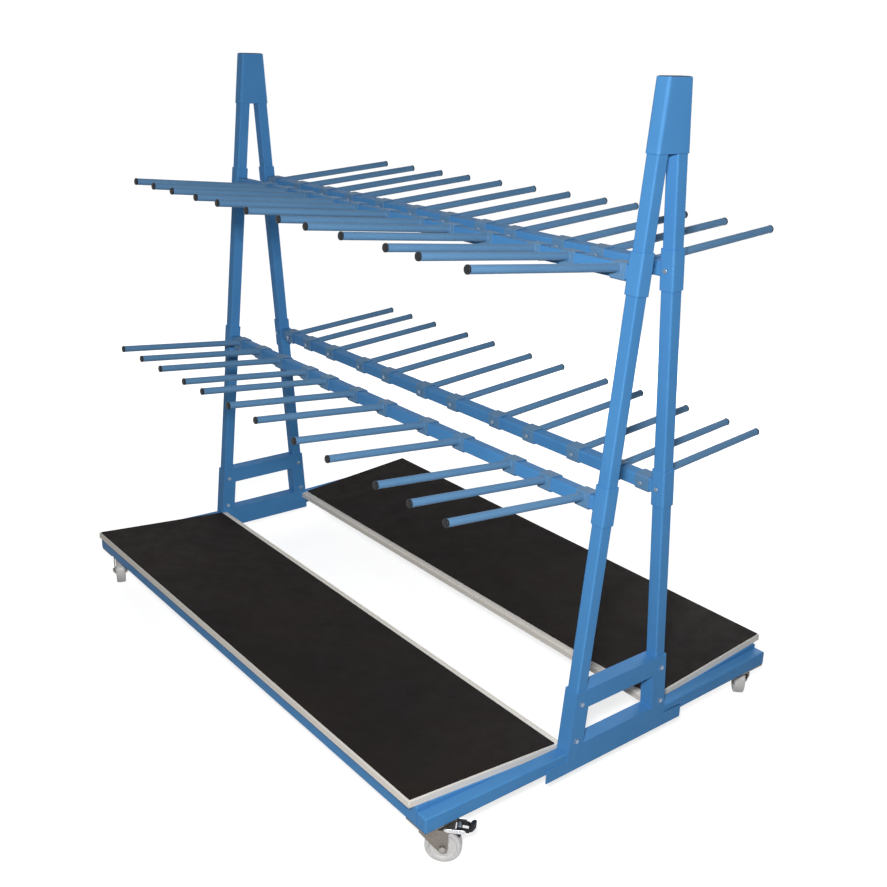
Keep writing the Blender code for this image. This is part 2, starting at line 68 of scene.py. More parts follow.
SETTINGS_MM = {  # how far each arm is set along its rail from even spacing
    "upper_front": (150, 115, 80, 75, 45, 50, 60, 30, 30, 55, 15, 25),
    "upper_rear": (-5, 5, 15, 10, 20, 30, 30, 30, -5, 25, 5, -5),
    "lower_front": (10, -5, -25, -15, -55, -50, -50, 0, 5, 65, 40, 15),
    "lower_rear": (10, -25, -35, 0, -10, 30, 30, 75, 65, 90, 80, 20),
}
BOLT_HEIGHTS = (193 * MM, 310 * MM)  # of the bolts through the sockets
CASTER_X, CASTER_Y = LEG_X - 25 * MM, FRAME_OUT - 52 * MM
CASTER_TURN = {"near_front": 45, "near_rear": 133, "far_front": -22, "far_rear": 225}
BRAKED = ("near_front", "far_rear")
TRAIL, WHEEL_RADIUS = 36 * MM, 50 * MM
PIN_X, PIN_Z = 76 * MM, 109 * MM
PLATE_LOW = 121 * MM

SIDES = {"front": math.pi, "rear": 0.0}  # a front piece is the rear one turned about Z
ENDS = {"near": 1, "far": -1}

# Drawn finer than the solids
TUBE_ROUND, SLEEVE_ROUND, CAP_ROUND = 5 * MM, 6 * MM, 9 * MM
RIM = 0.5 * MM  # the small round of a cut edge
END_RAIL_SAG = 7 * MM  # of an end rail's inner end under its outer end
END_RAIL_TALL = {"outer": 48 * MM, "inner": 41 * MM}
END_RAIL_ROUND = 5 * MM  # of its closed end
# Length and depth of that sheet of painted shade under a board's end
SHADE_SHEET_LONG, SHADE_SHEET_DEEP = 330 * MM, 4 * MM
FRAME_BEAD, RAIL_BEAD, ARM_BEAD = 2 * MM, 2.2 * MM, 2.3 * MM  # radii of the welds
PLY = 3 * MM  # one ply of a board
TIP_LONG = 5.5 * MM  # of an arm's black cap
HEAD = 13 * MM  # across the flats of a bolt or screw
PLATE_BOLT_X, PLATE_BOLT_Y = 30 * MM, 38 * MM
CORNER_STEPS = 5
SMOOTH_UNDER = math.radians(38)


def leg_y(z):
    """How far the legs' axes are from the middle at this height."""
    return LEG_TOP_Y + (HEIGHT - z) * TAN


# Shapes

def new_shape():
    shape = bmesh.new()
    shape.verts.layers.float.new("edge")  # 1 on rounded corners, where paint wears and a paler highlight is painted, and 0 on flats
    return shape


def rounded(width, depth, radius):
    """(a, b, edge) points round a rectangle with round corners."""
    points = []
    for quarter, (sa, sb) in enumerate(((1, 1), (-1, 1), (-1, -1), (1, -1))):
        middle = sa * (width / 2 - radius), sb * (depth / 2 - radius)
        for step in range(CORNER_STEPS + 1):
            angle = math.pi / 2 * (quarter + step / CORNER_STEPS)
            edge = math.sin(math.pi * step / CORNER_STEPS)
            a, b = middle[0] + radius * math.cos(angle), middle[1] + radius * math.sin(angle)
            points.append((a, b, edge))
    return points


def placed(axis, a, b, along):
    """The point whose two cross coordinates are a and b, this far along the axis."""
    if axis == "x":
        return Vector((along, a, b))
    if axis == "y":
        return Vector((a, along, b))
    return Vector((a, b, along))


def skin(shape, rings, closed=False, lids=True, slot=0):
    """Faces between rings of (point, edge) pairs. Closed joins the last ring to the first."""
    layer = shape.verts.layers.float["edge"]
    made = []
    for ring in rings:
        row = []
        for point, edge in ring:
            vertex = shape.verts.new(point)
            vertex[layer] = edge
            row.append(vertex)
        made.append(row)
    faces = []
    pairs = list(zip(made, made[1:]))
    if closed:
        pairs.append((made[-1], made[0]))
    for low, high in pairs:
        for i, corner in enumerate(low):
            after = (i + 1) % len(low)
            faces.append(shape.faces.new((corner, low[after], high[after], high[i])))
    if lids and not closed:
        faces.append(shape.faces.new(made[0]))
        faces.append(shape.faces.new(made[-1]))
    bmesh.ops.recalc_face_normals(shape, faces=faces)
    for face in faces:
        face.material_index = slot
    return faces


def section(axis, width, depth, radius, along, middle, worn_and_lit=0.0):
    a, b = middle
    return [
        (placed(axis, a + x, b + y, along), max(edge, worn_and_lit))
        for x, y, edge in rounded(width, depth, radius)
    ]


def tube(shape, axis, size, radius, wall, low, high, middle=(0, 0)):
    """A hollow rounded tube with softened rims. size is its outer width and depth."""
    w, d = size
    outer = [(w, d, radius, low + RIM, 0), (w, d, radius, high - RIM, 0)]
    top = [(w - 2 * RIM, d - 2 * RIM, radius - RIM, high, 1)]
    iw, idp, ir = w - 2 * wall, d - 2 * wall, max(radius - wall, RIM * 2)
    top.append((iw + 2 * RIM, idp + 2 * RIM, ir + RIM, high, 1))
    inner = [(iw, idp, ir, high - RIM, 0), (iw, idp, ir, low + RIM, 0)]
    foot = [
        (iw + 2 * RIM, idp + 2 * RIM, ir + RIM, low, 1), (w - 2 * RIM, d - 2 * RIM, radius - RIM, low, 1),
    ]
    rings = [section(axis, *ring[:4], middle, ring[4]) for ring in outer + top + inner + foot]
    skin(shape, rings, closed=True)


def bar(shape, axis, size, radius, low, high, middle=(0, 0), rim=RIM):
    """A closed rounded bar with softened ends."""
    w, d = size
    rings = [
        (w - 2 * rim, d - 2 * rim, radius - rim, low, 1), (w, d, radius, low + rim, 0),
        (w, d, radius, high - rim, 0), (w - 2 * rim, d - 2 * rim, radius - rim, high, 1),
    ]
    skin(shape, [section(axis, *ring[:4], middle, ring[4]) for ring in rings])


def lathe(shape, profile, sides, axis="y", middle=(0, 0), slot=0, edges=None):
    """A turned solid from (radius, along) points. A radius of 0 closes it on the axis."""
    layer = shape.verts.layers.float["edge"]
    rows = []
    for k, (radius, along) in enumerate(profile):
        count = 1 if radius == 0 else sides
        row = []
        for side in range(count):
            angle = 2 * math.pi * side / sides
            a, b = middle[0] + radius * math.cos(angle), middle[1] + radius * math.sin(angle)
            vertex = shape.verts.new(placed(axis, a, b, along))
            vertex[layer] = edges[k] if edges else 0.0
            row.append(vertex)
        rows.append(row)
    faces = []
    whole = profile[0][0] == 0 and profile[-1][0] == 0
    pairs = list(zip(rows, rows[1:])) + ([] if whole else [(rows[-1], rows[0])])
    for low, high in pairs:
        for i in range(sides):
            after = (i + 1) % sides
            ring = [low[i % len(low)], low[after % len(low)], high[after % len(high)], high[i % len(high)]]
            corners = list(dict.fromkeys(ring))
            if len(corners) > 2:
                faces.append(shape.faces.new(corners))
    bmesh.ops.recalc_face_normals(shape, faces=faces)
    for face in faces:
        face.material_index = slot
    return faces


def bead(shape, path, radius, closed=True):
    """A weld bead along a path of points, with the ripples of its passes."""
    sides = 6
    count = len(path)
    rings = []
    for i, point in enumerate(path):
        before = path[i - 1] if closed or i else point
        after = path[(i + 1) % count] if closed or i < count - 1 else point
        ahead = (after - before).normalized()
        turn = Vector((0, 0, 1)).rotation_difference(ahead).to_matrix()
        swell = radius * (1 + 0.16 * math.sin(2.1 * i) + 0.07 * math.sin(0.9 * i))
        if not closed and i in (0, count - 1):
            swell = radius * 0.45
        rings.append([
            (point + turn @ Vector((swell * math.cos(a), swell * math.sin(a), 0)), 0.3)
            for a in [2 * math.pi * k / sides for k in range(sides)]
        ])
    if closed:  # the rings' turns may differ, so each is set against the one before it
        for i in range(1, count):
            rings[i] = nearest_turn(rings[i - 1], rings[i])
        first = nearest_turn(rings[-1], rings[0])
        shift = [p for p, _ in rings[0]].index(first[0][0])
        if shift:
            rings.append(first)
            skin(shape, rings, lids=False)
            return
    skin(shape, rings, closed=closed)


def nearest_turn(ring, other):
    def apart(k):
        return sum((other[(i + k) % len(other)][0] - ring[i][0]).length for i in range(len(ring)))
    best = min(range(len(other)), key=apart)
    return other[best:] + other[:best]


def circle_path(radius, count, axis, middle, along):
    return [
        placed(
            axis, middle[0] + radius * math.cos(2 * math.pi * i / count),
            middle[1] + radius * math.sin(2 * math.pi * i / count), along,
        )
        for i in range(count)
    ]


def square_path(width, radius, step, axis, along):
    """Evenly spaced points round a rounded square."""
    corners = [Vector((a, b)) for a, b, _ in rounded(width, width, radius)]
    points = []
    for i, start in enumerate(corners):
        end = corners[(i + 1) % len(corners)]
        pieces = max(1, round((end - start).length / step))
        points += [start.lerp(end, k / pieces) for k in range(pieces)]
    return [placed(axis, p.x, p.y, along) for p in points]


def hexagon(shape, across, low, high, axis="y", middle=(0, 0), slot=0):
    """A hexagon bolt head or nut with chamfered corners, from low to its outer face at high."""
    corner = across / 2 / math.cos(math.pi / 6)
    flat = across / 2
    chamfer = (corner - flat) * 0.6 * (1 if high > low else -1)
    rings = []
    for along, kind in ((low, "hex"), (high - chamfer, "dip"), (high, "round")):
        ring = []
        for k in range(24):
            angle = 2 * math.pi * k / 24
            turn = (angle + math.pi / 6) % (math.pi / 3) - math.pi / 6
            reach = corner * math.cos(math.pi / 6) / math.cos(turn)
            depth = along
            if kind == "dip":
                depth = along - chamfer * ((reach - flat) / (corner - flat)) * 0.8
            if kind == "round":
                reach = flat * 0.94
            a, b = middle[0] + reach * math.cos(angle), middle[1] + reach * math.sin(angle)
            ring.append((placed(axis, a, b, depth), 0.0))
        rings.append(ring)
    skin(shape, rings, slot=slot)


def mesh_of(shape, name, smooth=SMOOTH_UNDER):
    mesh = bpy.data.meshes.new(name)
    shape.to_mesh(mesh)
    shape.free()
    mesh.polygons.foreach_set("use_smooth", [True] * len(mesh.polygons))
    mesh.set_sharp_from_angle(angle=smooth)
    return mesh


def show(name, mesh, materials, body, slot, matrix, *nodes):
    """A piece of the object that moves with the body and stands for the nodes."""
    made = bpy.data.objects.new(name, mesh)
    bpy.context.scene.collection.objects.link(made)
    if not mesh.materials:
        for material in materials:
            mesh.materials.append(material)
    normals = made.modifiers.new("flats", "WEIGHTED_NORMAL")
    normals.keep_sharp = True
    made.matrix_world = matrix
    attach(made, body)
    if nodes:
        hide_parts(*nodes)
    return made


def leaning(place, turn):
    return Matrix.Translation(place) @ Matrix.Rotation(turn, 4, "Z") @ Matrix.Rotation(LEAN, 4, "X")


def dressed(name, material, width, angle=50):
    """A CAD node as it is, with softened edges and a material."""
    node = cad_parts[name]
    node.data.materials.clear()
    node.data.materials.append(material)
    weld = node.modifiers.new("weld", "WELD")
    weld.merge_threshold = 0.02 * MM
    flats = node.modifiers.new("flats", "DECIMATE")
    flats.decimate_type = "DISSOLVE"
    flats.angle_limit = math.radians(2)
    soft = node.modifiers.new("edges", "BEVEL")
    soft.width = width
    soft.segments = 2
    soft.limit_method = "ANGLE"
    soft.angle_limit = math.radians(angle)
    soft.harden_normals = False
    normals = node.modifiers.new("normals", "WEIGHTED_NORMAL")
    normals.keep_sharp = True
    node.data.polygons.foreach_set("use_smooth", [True] * len(node.data.polygons))
    return node


# Materials

def add(tree, kind, inputs=(), **settings):
    node = tree.nodes.new(kind)
    for key, value in settings.items():
        setattr(node, key, value)
    for key, value in dict(inputs).items():
        if isinstance(value, bpy.types.NodeSocket):
            tree.links.new(value, node.inputs[key])
        else:
            node.inputs[key].default_value = value
    return node


def plain(name, colour, roughness, metallic=0.0):
    made = bpy.data.materials.new(name)
    made.use_nodes = True
    shader = made.node_tree.nodes["Principled BSDF"]
    shader.inputs["Base Color"].default_value = (*colour, 1)
    shader.inputs["Roughness"].default_value = roughness
    shader.inputs["Metallic"].default_value = metallic
    return made, made.node_tree, shader


def noise(tree, place, scale, detail=3.0, rough=0.5, stretch=None):
    if stretch:
        place = add(tree, "ShaderNodeVectorMath", {0: place, 1: stretch}, operation="MULTIPLY").outputs[0]
    node = add(tree, "ShaderNodeTexNoise", {
        "Vector": place, "Scale": scale, "Detail": detail, "Roughness": rough,
    })
    return node.outputs["Fac"]


def spread(tree, value, low, high, to_low=0.0, to_high=1.0):
    node = add(tree, "ShaderNodeMapRange", {
        "Value": value, "From Min": low, "From Max": high, "To Min": to_low, "To Max": to_high,
    }, interpolation_type="SMOOTHSTEP")
    return node.outputs["Result"]


def times(tree, a, b):
    return add(tree, "ShaderNodeMath", {0: a, 1: b}, operation="MULTIPLY").outputs[0]


def blend(tree, share, a, b):
    """Colour a where share is 0 and b where it is 1."""
    node = add(tree, "ShaderNodeMix", {0: share}, data_type="RGBA")
    for socket, value in ((node.inputs[6], a), (node.inputs[7], b)):
        if isinstance(value, bpy.types.NodeSocket):
            tree.links.new(value, socket)
        else:
            socket.default_value = (*value, 1)
    return node.outputs[2]


def relief(tree, shader, height, distance, strength=1.0):
    bump = add(tree, "ShaderNodeBump", {"Strength": strength, "Distance": distance, "Height": height})
    tree.links.new(bump.outputs["Normal"], shader.inputs["Normal"])


def object_place(tree):
    return add(tree, "ShaderNodeTexCoord").outputs["Object"]


def paint_material(name, colour, shade, worn_and_lit, gleam, tint):
    """Satin powder coat: orange peel, faint mottling, and paler rounded edges, partly paint rubbed thin and
    partly a painted highlight.
    """
    made, tree, shader = plain(name, colour, 0.45)
    shader.inputs["Specular IOR Level"].default_value = gleam
    shader.inputs["Specular Tint"].default_value = (*tint, 1)
    place = object_place(tree)
    own = add(tree, "ShaderNodeObjectInfo").outputs["Random"]
    far = add(tree, "ShaderNodeVectorMath", {0: (7.0, 11.0, 5.0), 3: own}, operation="SCALE").outputs[0]
    place = add(tree, "ShaderNodeVectorMath", {0: place, 1: far}, operation="ADD").outputs[0]
    cloud = spread(tree, noise(tree, place, 4.0, 4.0, 0.6), 0.3, 0.7)
    base = blend(tree, cloud, shade, colour)
    # Paler patches on the rounded edges: partly paint rubbed thin, partly a painted highlight along the
    # edges.
    edge = add(tree, "ShaderNodeAttribute", attribute_name="edge").outputs["Fac"]
    chips = spread(tree, noise(tree, place, 120.0, 5.0, 0.7), 0.52, 0.68)
    rubbed = spread(tree, noise(tree, place, 14.0, 2.0), 0.45, 0.7)
    wear_and_highlight = times(tree, times(tree, edge, chips), rubbed)
    base = blend(tree, times(tree, wear_and_highlight, 0.55), base, worn_and_lit)
    tree.links.new(base, shader.inputs["Base Color"])
    gloss = spread(tree, noise(tree, place, 30.0, 4.0, 0.65), 0.3, 0.7, 0.47, 0.56)
    tree.links.new(gloss, shader.inputs["Roughness"])
    peel = noise(tree, place, 420.0, 2.0)
    relief(tree, shader, peel, 0.35 * MM, 0.22)
    return made


def mat_material():
    """Black-brown anti-slip sheet: a fine pressed mesh, long scuffs from sliding profiles, faint dust."""
    made, tree, shader = plain("black_mat", (0.028, 0.024, 0.022), 0.6)
    place = object_place(tree)
    cloud = spread(tree, noise(tree, place, 2.3, 4.0, 0.6), 0.32, 0.68)
    base = blend(tree, cloud, (0.0120, 0.0100, 0.0096), (0.0165, 0.0132, 0.0114))
    scuffs = spread(tree, noise(tree, place, 9.0, 5.0, 0.7, (1.0, 14.0, 1.0)), 0.60, 0.82)
    marks = spread(tree, noise(tree, place, 3.0, 2.0), 0.42, 0.7)
    scuffs = times(tree, scuffs, marks)
    base = blend(tree, times(tree, scuffs, 0.3), base, (0.036, 0.031, 0.027))
    tree.links.new(base, shader.inputs["Base Color"])
    gloss = spread(tree, noise(tree, place, 18.0, 4.0, 0.6), 0.3, 0.7, 0.58, 0.70)
    tree.links.new(gloss, shader.inputs["Roughness"])
    mesh = add(tree, "ShaderNodeTexVoronoi", {"Vector": place, "Scale": 380.0}, feature="DISTANCE_TO_EDGE")
    cells = spread(tree, mesh.outputs["Distance"], 0.02, 0.16)
    relief(tree, shader, cells, 0.25 * MM, 0.5)
    shader.inputs["Specular IOR Level"].default_value = 0.035
    return made


def ply_material():
    """Birch plywood: cross plies on the cut edges, a fine long grain along the sheet."""
    made, tree, shader = plain("plywood", (0.74, 0.67, 0.57), 0.62)
    place = object_place(tree)
    part = add(tree, "ShaderNodeSeparateXYZ", {0: place})
    wobble = times(tree, noise(tree, place, 6.0, 2.0), 0.7 * MM)
    height = add(tree, "ShaderNodeMath", {0: part.outputs["Z"], 1: wobble}, operation="ADD").outputs[0]
    plies = times(tree, height, 1 / PLY)
    saw = add(tree, "ShaderNodeMath", {0: plies, 1: 1.0}, operation="PINGPONG").outputs[0]
    layer = spread(tree, saw, 0.42, 0.58)
    grain = noise(tree, place, 60.0, 6.0, 0.7, (0.05, 1.0, 1.0))
    light = blend(tree, grain, (0.90, 0.87, 0.82), (0.83, 0.79, 0.73))
    dark = blend(tree, grain, (0.80, 0.74, 0.66), (0.72, 0.65, 0.56))
    normal = add(tree, "ShaderNodeTexCoord").outputs["Normal"]
    up = add(tree, "ShaderNodeSeparateXYZ", {0: normal}).outputs["Z"]
    flat = add(tree, "ShaderNodeMath", {0: up}, operation="ABSOLUTE").outputs[0]
    side = spread(tree, flat, 0.9, 0.6)
    base = blend(tree, times(tree, layer, side), light, dark)
    stain = spread(tree, noise(tree, place, 5.0, 4.0, 0.6), 0.55, 0.85)
    base = blend(tree, times(tree, stain, 0.25), base, (0.66, 0.61, 0.54))
    tree.links.new(base, shader.inputs["Base Color"])
    relief(tree, shader, grain, 0.3 * MM, 0.3)
    return made


def zinc_material(name, dark, light, roughness, metallic=1.0):
    """Zinc-plated steel with a fine spangle and cloudy tarnish."""
    made, tree, shader = plain(name, light, roughness, metallic)
    place = object_place(tree)
    cells = add(tree, "ShaderNodeTexVoronoi", {"Vector": place, "Scale": 260.0}).outputs["Color"]
    tone = add(tree, "ShaderNodeSeparateXYZ", {0: cells}).outputs["X"]
    cloud = noise(tree, place, 45.0, 5.0, 0.65)
    mixed = add(
        tree, "ShaderNodeMath", {0: times(tree, tone, 0.35), 1: times(tree, cloud, 0.75)}, operation="ADD",
    )
    tree.links.new(blend(tree, mixed.outputs[0], dark, light), shader.inputs["Base Color"])
    gloss = spread(tree, cloud, 0.3, 0.7, roughness - 0.07, roughness + 0.12)
    tree.links.new(gloss, shader.inputs["Roughness"])
    relief(tree, shader, noise(tree, place, 700.0, 2.0), 0.08 * MM, 0.4)
    return made


def moulded_material(name, low, high, roughness, grain, gleam=0.5):
    """Moulded plastic with a fine eroded grain and a faint bloom."""
    made, tree, shader = plain(name, high, roughness)
    shader.inputs["Specular IOR Level"].default_value = gleam
    place = object_place(tree)
    cloud = spread(tree, noise(tree, place, 35.0, 4.0, 0.6), 0.3, 0.7)
    tree.links.new(blend(tree, cloud, low, high), shader.inputs["Base Color"])
    gloss = spread(tree, noise(tree, place, 90.0, 3.0), 0.3, 0.7, roughness - 0.06, roughness + 0.08)
    tree.links.new(gloss, shader.inputs["Roughness"])
    relief(tree, shader, noise(tree, place, grain, 2.0), 0.12 * MM, 0.35)
    return made


blue = paint_material(
    "blue_paint", (0.080, 0.275, 0.580), (0.070, 0.250, 0.540), (0.26, 0.42, 0.60), 0.12, (0.75, 0.85, 1.0),
)
# The arms' paint is a greyer, darker copy of the frame's blue: painted shade and sheen, standing in for how
# light falls on the thin arms.
shaded_arm_blue = paint_material(
    "arm_paint_painted_shade", (0.112, 0.250, 0.430), (0.100, 0.228, 0.400), (0.28, 0.38, 0.48), 0.24, (1.0, 1.0, 1.0),
)
black_mat = mat_material()
plywood = ply_material()
# The metal for the forks and plates is a darker copy of the bright one used on the straps: painted shade,
# standing in for the dark room it reflects.
dark_reflection_zinc = zinc_material("zinc_steel", (0.13, 0.115, 0.10), (0.27, 0.245, 0.22), 0.46, 0.85)
bright = zinc_material("bright_zinc", (0.46, 0.47, 0.48), (0.68, 0.69, 0.70), 0.38)
worn_zinc = zinc_material("worn_zinc", (0.24, 0.23, 0.215), (0.42, 0.405, 0.38), 0.42, 0.9)
dull = zinc_material("dull_zinc", (0.17, 0.25, 0.34), (0.32, 0.42, 0.53), 0.42, 0.75)
nylon = moulded_material("nylon", (0.56, 0.55, 0.545), (0.66, 0.65, 0.64), 0.40, 240.0)
black = moulded_material("black_plastic", (0.008, 0.009, 0.011), (0.014, 0.015, 0.018), 0.46, 500.0, 0.22)

# Decks

out = TUBE / COS + BOARD_OVERHANG


def board_mesh():
    """The board lying flat, with eased edges and the saw groove in its bare inner strip."""
    shape = new_shape()
    ease, groove_deep = 1.2 * MM, 3 * MM
    low, high = SEAT, SEAT + BOARD_THICK
    inner, outer = out - BOARD_WIDTH, out
    groove = inner + 6.5 * MM, inner + 10.5 * MM
    outline = [
        (inner, low + ease), (inner + ease, low), (outer - ease, low), (outer, low + ease),
        (outer, high - ease), (outer - ease, high), (groove[1], high),
        (groove[1] - 0.4 * MM, high - groove_deep), (groove[0] + 0.4 * MM, high - groove_deep),
        (groove[0], high), (inner + ease, high), (inner, high - ease),
    ]
    rings = []
    for x, inset in (
        (-BOARD_LENGTH / 2, ease), (-BOARD_LENGTH / 2 + ease, 0),
        (BOARD_LENGTH / 2 - ease, 0), (BOARD_LENGTH / 2, ease),
    ):
        ring = []
        for y, z in outline:
            y = min(max(y, inner + inset), outer - inset)
            z = min(max(z, low + inset), high - inset) if inset and z > high - ease - 0.1 * MM else z
            ring.append((Vector((x, y, z)), 0.0))
        rings.append(ring)
    skin(shape, rings)
    return mesh_of(shape, "board")


def sheet_mesh():
    shape = new_shape()
    outer = out - BOARD_EDGE
    low = SEAT + BOARD_THICK + SEAT
    bar(
        shape, "z", (MAT_LENGTH, MAT_WIDTH), 3 * MM, low, low + MAT_THICK,
        (0, outer - MAT_WIDTH / 2), 0.8 * MM,
    )
    return mesh_of(shape, "mat")


def deck_frame_mesh():
    """The rear deck's welded frame of square tube. Its end rails sag a little towards the middle."""
    shape = new_shape()
    end_in = LEG_X - TUBE / 2
    outer_y, outer_in = FRAME_OUT - TUBE / 2, FRAME_OUT - TUBE
    inner_y = outer_in - (OUTER_TALL - INNER_TALL) / TAN + TUBE / 2
    rail_start = leg_y(FRAME_BOTTOM) + SLEEVE / 2 / COS + 0.4 * MM
    for y, tall in ((outer_y, OUTER_TALL), (inner_y, INNER_TALL)):
        bar(shape, "x", (TUBE, tall), TUBE_ROUND, -end_in, end_in, (y, FRAME_BOTTOM + tall / 2))

    def rail_low(y):
        return FRAME_BOTTOM - END_RAIL_SAG * (FRAME_OUT - y) / (FRAME_OUT - rail_start)

    def rail_tall(y):
        share = (FRAME_OUT - y) / (FRAME_OUT - rail_start)
        return END_RAIL_TALL["outer"] + (END_RAIL_TALL["inner"] - END_RAIL_TALL["outer"]) * share

    def board_low(y):
        return FRAME_BOTTOM + OUTER_TALL - (outer_in - y) * TAN

    # A thin blue sheet fills the slit under each board's end, above its end rail: painted shade, standing
    # in for the dark seen through that slit.
    shade_sheet_in = outer_in - SHADE_SHEET_LONG
    strip = [
        (shade_sheet_in, board_low(shade_sheet_in)), (shade_sheet_in, board_low(shade_sheet_in) - SHADE_SHEET_DEEP),
        (outer_in, rail_low(outer_in) + rail_tall(outer_in) - SHADE_SHEET_DEEP), (outer_in, board_low(outer_in)),
    ]
    places = [(rail_start, 0.0)]  # along a rail, and how far its closed end is rounded off there
    for back_share, inset_share in ((1.0, 0.0), (0.6, 0.08), (0.29, 0.29), (0.08, 0.6), (0.0, 1.0)):
        places.append((FRAME_OUT - back_share * END_RAIL_ROUND, inset_share * END_RAIL_ROUND))
    for side in (1, -1):
        skin(shape, [
            [(Vector((side * x, y, z)), 0.0) for y, z in strip] for x in (end_in - SHADE_SHEET, end_in + 1 * MM)
        ])
        rings = []
        for y, inset in places:
            tall = rail_tall(y)
            radius = max(TUBE_ROUND - inset, 1 * MM)
            middle = (side * LEG_X, rail_low(y) + tall / 2)
            worn_and_lit = inset / END_RAIL_ROUND
            rings.append(section("y", TUBE - 2 * inset, tall - 2 * inset, radius, y, middle, worn_and_lit))
        skin(shape, rings)
        weld = side * (end_in - 0.4 * MM)
        for y in (outer_in, inner_y - TUBE / 2, inner_y + TUBE / 2):
            tall = OUTER_TALL if y > outer_y - TUBE else INNER_TALL
            tall = min(tall, END_TALL) - 2 * TUBE_ROUND
            path = [Vector((weld, y, FRAME_BOTTOM + TUBE_ROUND + tall * k / 12)) for k in range(13)]
            bead(shape, path, FRAME_BEAD, closed=False)
    return mesh_of(shape, "deck_frame")


boards, sheets, frames = board_mesh(), sheet_mesh(), deck_frame_mesh()
for side, turn in SIDES.items():
    rest = Vector((0, math.cos(turn) * (FRAME_OUT - TUBE), FRAME_BOTTOM + OUTER_TALL))
    lying = leaning(rest, turn)
    show(f"{side}_plywood", boards, [plywood], "cart", "plywood", lying, f"{side}_board")
    show(f"{side}_sheet", sheets, [black_mat], "cart", "black_mat", lying, f"{side}_mat")
    turned = Matrix.Rotation(turn, 4, "Z")
    show(f"{side}_frame", frames, [blue], "cart", "blue_paint", turned, f"{side}_deck_frame")

# End frames


def leg_mesh():
    shape = new_shape()
    tube(shape, "z", (TUBE, TUBE), TUBE_ROUND, TUBE_WALL, 0, LEG_LONG)
    return mesh_of(shape, "leg")


def lid_mesh():
    """The dark lid in a cap's top, on the legs and just proud of the rim."""
    shape = new_shape()
    deep = SLEEVE - 2 * SLEEVE_WALL
    wide = 2 * (leg_y(HEIGHT) + SLEEVE / 2 / COS - SLEEVE_WALL)
    rings = []
    for inset_mm, lift_mm in ((0.2, -2.8), (0.2, 0.4), (0.8, 1.0), (3, 1.5), (9, 1.9)):
        inset = inset_mm * MM
        radius = CAP_ROUND - SLEEVE_WALL - inset / 2
        z = HEIGHT + lift_mm * MM
        rings.append(section("z", deep - 2 * inset, wide - 2 * inset, radius, z, (0, 0)))
    skin(shape, rings)
    return mesh_of(shape, "lid")


def cap_mesh():
    """The tapered shell round the tops of two legs, open above and below."""
    shape = new_shape()
    low, high = HEIGHT - CAP_TALL, HEIGHT

    def ring(inset, z, worn_and_lit):
        deep = SLEEVE - 2 * inset
        wide = 2 * (leg_y(z) + SLEEVE / 2 / COS - inset)
        return section("z", deep, wide, max(CAP_ROUND - inset, 1.2 * MM), z, (0, 0), worn_and_lit)

    wall = SLEEVE_WALL
    rings = [
        ring(0, low + RIM, 0), ring(0, high - RIM, 0), ring(RIM, high, 1), ring(wall - RIM, high, 1),
        ring(wall, high - RIM, 0), ring(wall, low + RIM, 0), ring(wall - RIM, low, 1), ring(RIM, low, 1),
    ]
    skin(shape, rings, closed=True)
    return mesh_of(shape, "cap")


def bolt_mesh(across, head, washer, sides=28):
    """A hexagon head with its washer, standing on the plane y = 0 and pointing along -Y."""
    shape = new_shape()
    thick = 1.6 * MM
    lathe(shape, [
        (0, 0), (washer, 0), (washer, -thick + 0.3 * MM), (washer - 0.3 * MM, -thick), (0, -thick),
    ], sides)
    hexagon(shape, across, -thick, -thick - head)
    return mesh_of(shape, "bolt", math.radians(30))


legs, lids, caps = leg_mesh(), lid_mesh(), cap_mesh()
socket_bolt = bolt_mesh(HEAD, 5.3 * MM, 8 * MM)
for end, along in ENDS.items():
    dressed(f"{end}_base", blue, 1.3 * MM)
    middle = Matrix.Translation((along * LEG_X, 0, 0))
    show(f"{end}_top_shell", caps, [blue], "cart", "blue_paint", middle, f"{end}_cap")
    show(f"{end}_lid", lids, [black], "cart", "black_plastic", middle)
    for side, turn in SIDES.items():
        outward = math.cos(turn)
        foot = leaning((along * LEG_X, outward * leg_y(LEG_LOW), LEG_LOW), turn)
        show(f"{end}_{side}_post", legs, [blue], "cart", "blue_paint", foot, f"{end}_{side}_leg")
        for level, z in zip(("lower", "upper"), BOLT_HEIGHTS):
            for face, quarter in (("outer", 1), ("inner", -1)):
                stands = Vector((along * (LEG_X + quarter * SLEEVE / 2), outward * leg_y(z), z))
                aims = Matrix.Rotation(along * quarter * math.pi / 2, 4, "Z")
                name = f"{end}_{side}_{level}_{face}_bolt"
                show(name, socket_bolt, [dull], "cart", "zinc_steel", Matrix.Translation(stands) @ aims)

# Rails and arms


def rail_mesh(far):
    """A rail with a sleeve for a leg at each end. A bead shows at the far end, -1 or 1 along the rail's
    own X. At the near end an arm slides right up to the sleeve."""
    shape = new_shape()
    bar(shape, "x", (TUBE, TUBE), TUBE_ROUND, -RAIL_END, RAIL_END)
    half = RAIL_SLEEVE_TALL / 2
    for side in (1, -1):
        tube(shape, "z", (SLEEVE, SLEEVE), SLEEVE_ROUND, SLEEVE_WALL, -half, half, (side * LEG_X, 0))
    path = square_path(TUBE + 1 * MM, TUBE_ROUND, 3 * MM, "x", far * (RAIL_END - 0.6 * MM))
    bead(shape, path, RAIL_BEAD)
    return mesh_of(shape, "rail")


def arm_mesh(reach):
    """A round arm welded to a sleeve that slides on its rail."""
    shape = new_shape()
    half = ARM_LONG / 2
    tube(shape, "x", (SLEEVE, SLEEVE), SLEEVE_ROUND, SLEEVE_WALL, -half, half)
    start = SLEEVE / 2 - 0.2 * MM
    lathe(shape, [
        (0, start), (ARM_RADIUS, start), (ARM_RADIUS, reach - 2.5 * MM), (0, reach - 2.5 * MM),
    ], 40, middle=(0, ARM_RAISE))
    path = circle_path(ARM_RADIUS + 0.8 * MM, 30, "y", (0, ARM_RAISE), SLEEVE / 2 + 0.8 * MM)
    bead(shape, path, ARM_BEAD)
    return mesh_of(shape, "arm")


